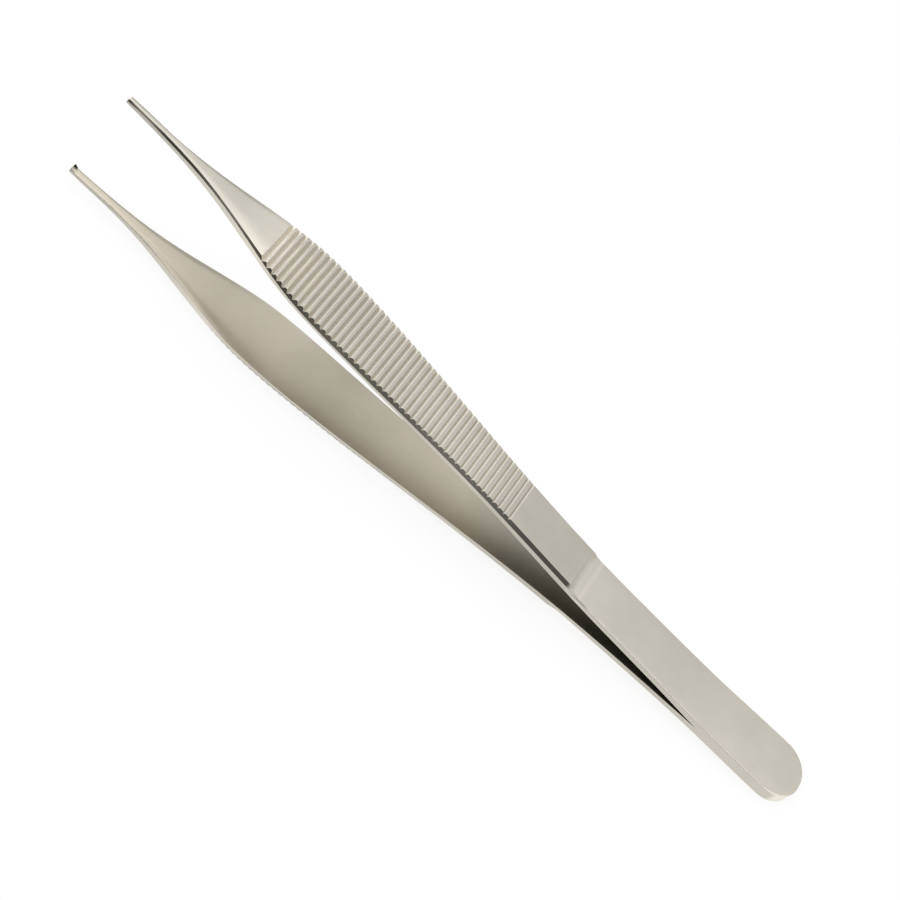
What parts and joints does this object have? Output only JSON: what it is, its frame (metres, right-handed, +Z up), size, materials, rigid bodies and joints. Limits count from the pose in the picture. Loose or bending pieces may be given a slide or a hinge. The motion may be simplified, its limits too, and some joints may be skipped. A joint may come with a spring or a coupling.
{
  "type": "thumb forceps",
  "caption": "Toothed thumb forceps: two spring arms welded at a round butt, with cross-ridged finger grips and narrow toothed tips.",
  "frame": {"origin": "centre of the part's bounding box on the surface it lies on", "axes": "+X from the butt to the toothed tips, +Y across the grips, +Z up through the opening between the arms"},
  "size_m": [0.1204, 0.0102, 0.0182],
  "materials": {
    "satin_steel": "satin"
  },
  "bodies": {
    "root": {"upper_arm": "satin_steel", "lower_arm": "satin_steel"}
  },
  "joints": []
}
